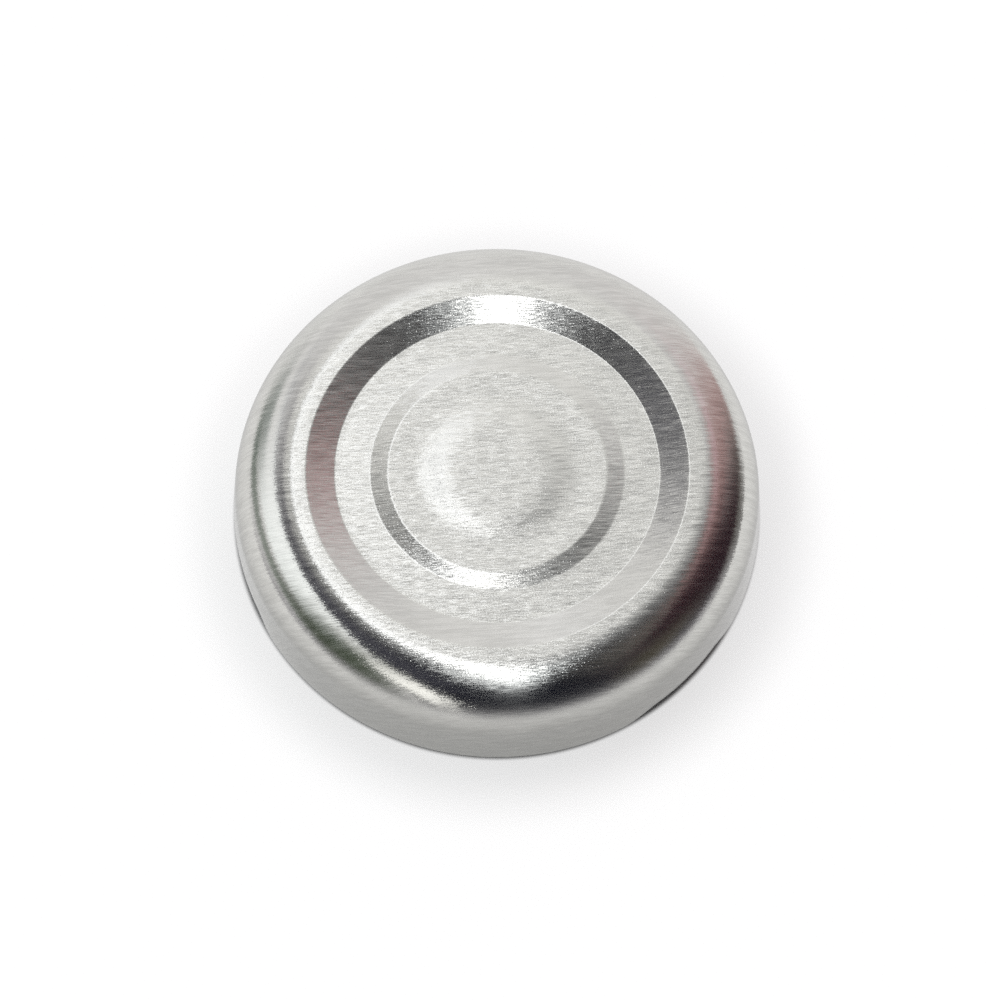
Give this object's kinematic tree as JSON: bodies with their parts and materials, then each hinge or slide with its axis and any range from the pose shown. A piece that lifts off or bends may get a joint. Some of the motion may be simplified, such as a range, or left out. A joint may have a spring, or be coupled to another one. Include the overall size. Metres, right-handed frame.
{
  "type": "twist-off bottle cap",
  "caption": "Round twist-off metal bottle cap with a deep smooth shoulder, concentric pressed rings on top, a rolled hem with locking lugs and an inner sealing ring.",
  "frame": {"origin": "middle of the mouth, on the plane that the rolled hem stands on", "axes": "+Z along the cap's axis, from the mouth to the top; +X along the brushing"},
  "size_m": [0.0464, 0.0464, 0.0097],
  "materials": {
    "tinplate": "fine straight brushing, satin",
    "sealing_compound": "smooth, matte"
  },
  "bodies": {
    "root": {"cap_shell": "tinplate", "sealing_ring": "sealing_compound"}
  },
  "joints": []
}
